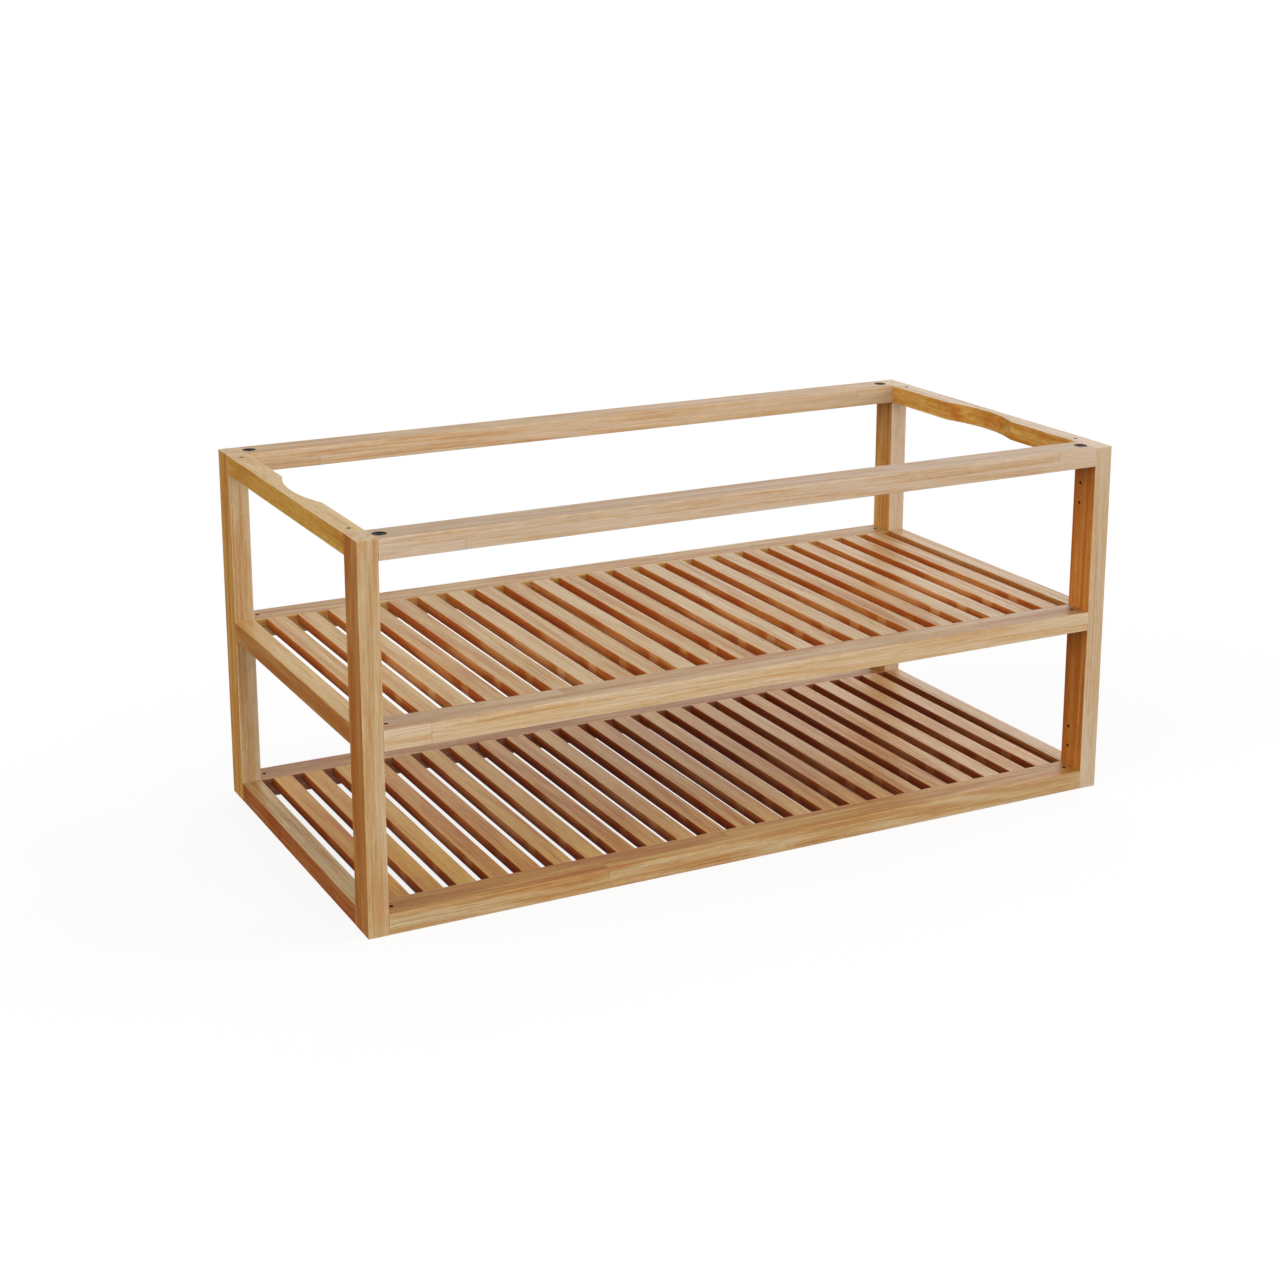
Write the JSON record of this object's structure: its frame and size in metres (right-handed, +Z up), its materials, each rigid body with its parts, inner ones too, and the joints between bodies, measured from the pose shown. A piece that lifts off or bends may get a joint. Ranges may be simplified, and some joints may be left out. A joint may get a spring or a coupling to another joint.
{
  "type": "entryway bench",
  "caption": "Open wooden bench frame with corner posts, a ring of top rails with scooped hand grips, and slatted shelves at half height and at the floor.",
  "frame": {"origin": "on the floor, below the middle of the bench", "axes": "+X to the right along the front, +Y from front to back, +Z up"},
  "size_m": [1, 0.4954, 0.4524],
  "materials": {
    "post_wood": "oiled light hardwood, satin",
    "top_rail_wood": "oiled light hardwood, satin",
    "shelf_rail_wood": "oiled light hardwood, satin",
    "slat_wood": "oiled light hardwood, satin",
    "cam_zinc": "dark zinc, satin",
    "bolt_steel": "plain steel, satin"
  },
  "bodies": {
    "root": {"post_front_left": "post_wood", "post_back_left": "post_wood", "post_front_right": "post_wood", "post_back_right": "post_wood", "top_rail_front": "top_rail_wood", "top_rail_back": "top_rail_wood", "top_rail_left": "top_rail_wood", "top_rail_right": "top_rail_wood", "middle_shelf_rail_front": "shelf_rail_wood", "middle_shelf_rail_back": "shelf_rail_wood", "middle_shelf_rail_left": "shelf_rail_wood", "middle_shelf_rail_right": "shelf_rail_wood", "lower_shelf_rail_front": "shelf_rail_wood", "lower_shelf_rail_back": "shelf_rail_wood", "lower_shelf_rail_left": "shelf_rail_wood", "lower_shelf_rail_right": "shelf_rail_wood", "middle_slat_01": "slat_wood", "middle_slat_02": "slat_wood", "middle_slat_03": "slat_wood", "middle_slat_04": "slat_wood", "middle_slat_05": "slat_wood", "middle_slat_06": "slat_wood", "middle_slat_07": "slat_wood", "middle_slat_08": "slat_wood", "middle_slat_09": "slat_wood", "middle_slat_10": "slat_wood", "middle_slat_11": "slat_wood", "middle_slat_12": "slat_wood", "middle_slat_13": "slat_wood", "middle_slat_14": "slat_wood", "middle_slat_15": "slat_wood", "middle_slat_16": "slat_wood", "middle_slat_17": "slat_wood", "middle_slat_18": "slat_wood", "middle_slat_19": "slat_wood", "middle_slat_20": "slat_wood", "middle_slat_21": "slat_wood", "middle_slat_22": "slat_wood", "middle_slat_23": "slat_wood", "lower_slat_grid": "slat_wood", "cam_lock_front_left": "cam_zinc", "cam_lock_back_left": "cam_zinc", "cam_lock_front_right": "cam_zinc", "cam_lock_back_right": "cam_zinc", "cam_bolt_front_left": "bolt_steel", "cam_bolt_back_left": "bolt_steel", "cam_bolt_front_right": "bolt_steel", "cam_bolt_back_right": "bolt_steel", "lock_bolt_top_front_left": "bolt_steel", "lock_bolt_top_back_left": "bolt_steel", "lock_bolt_top_front_right": "bolt_steel", "lock_bolt_top_back_right": "bolt_steel", "lock_bolt_middle_front_left": "bolt_steel", "lock_bolt_middle_back_left": "bolt_steel", "lock_bolt_middle_front_right": "bolt_steel", "lock_bolt_middle_back_right": "bolt_steel", "lock_bolt_lower_front_left": "bolt_steel", "lock_bolt_lower_back_left": "bolt_steel", "lock_bolt_lower_front_right": "bolt_steel", "lock_bolt_lower_back_right": "bolt_steel"}
  },
  "joints": []
}
